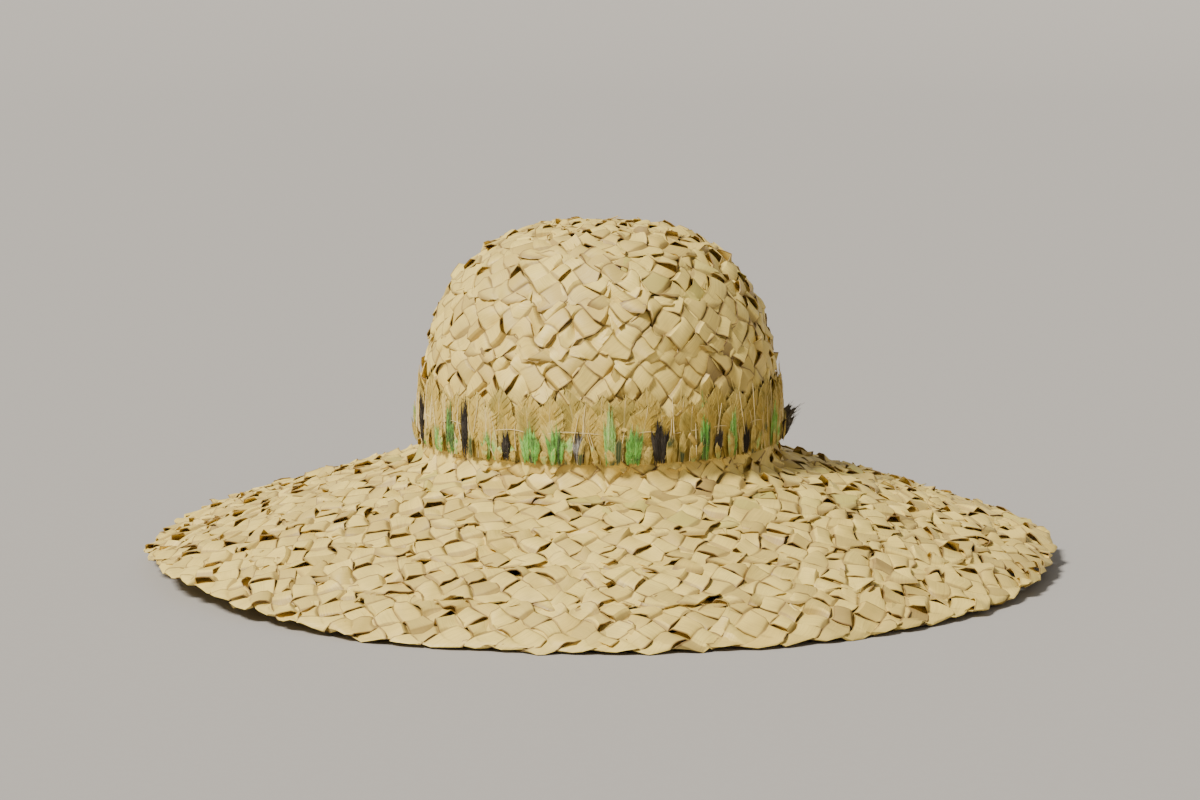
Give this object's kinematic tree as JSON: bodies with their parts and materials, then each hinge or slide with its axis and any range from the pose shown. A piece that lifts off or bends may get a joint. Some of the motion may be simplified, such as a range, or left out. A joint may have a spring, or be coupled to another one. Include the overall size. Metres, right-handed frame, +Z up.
{
  "type": "capeline sun hat",
  "caption": "Wide-brimmed sun hat sewn from rows of broad leaf plait, with a round crown, a gently drooping brim and a band of small golden, green and black feathers.",
  "frame": {"origin": "on the surface the hat rests on, under the middle of the crown", "axes": "+Z up through the crown, -Y to the front of the hat, +X to the wearer's left"},
  "size_m": [0.466, 0.476, 0.1747],
  "materials": {
    "straw": "plaited dry leaf, pale straw, satin",
    "gold_feather": "soft golden olive feather",
    "green_feather": "bright green feather",
    "black_feather": "black feather, slightly glossy"
  },
  "bodies": {
    "root": {"crown": "straw", "brim": "straw", "feather_band": "gold_feather", "plume_green_1": "green_feather", "plume_green_2": "green_feather", "plume_green_3": "green_feather", "plume_green_4": "green_feather", "plume_green_5": "green_feather", "plume_green_6": "green_feather", "plume_green_7": "green_feather", "plume_green_8": "green_feather", "plume_green_9": "green_feather", "plume_green_10": "green_feather", "plume_green_11": "green_feather", "plume_green_12": "green_feather", "plume_green_13": "green_feather", "plume_green_14": "green_feather", "plume_green_15": "green_feather", "plume_green_16": "green_feather", "plume_black_1": "black_feather", "plume_black_2": "black_feather", "plume_black_3": "black_feather", "plume_black_4": "black_feather", "plume_black_5": "black_feather", "plume_black_6": "black_feather", "plume_black_7": "black_feather", "plume_black_8": "black_feather", "plume_black_9": "black_feather", "plume_black_10": "black_feather", "plume_black_11": "black_feather", "plume_black_12": "black_feather", "plume_black_13": "black_feather", "plume_black_14": "black_feather"}
  },
  "joints": []
}
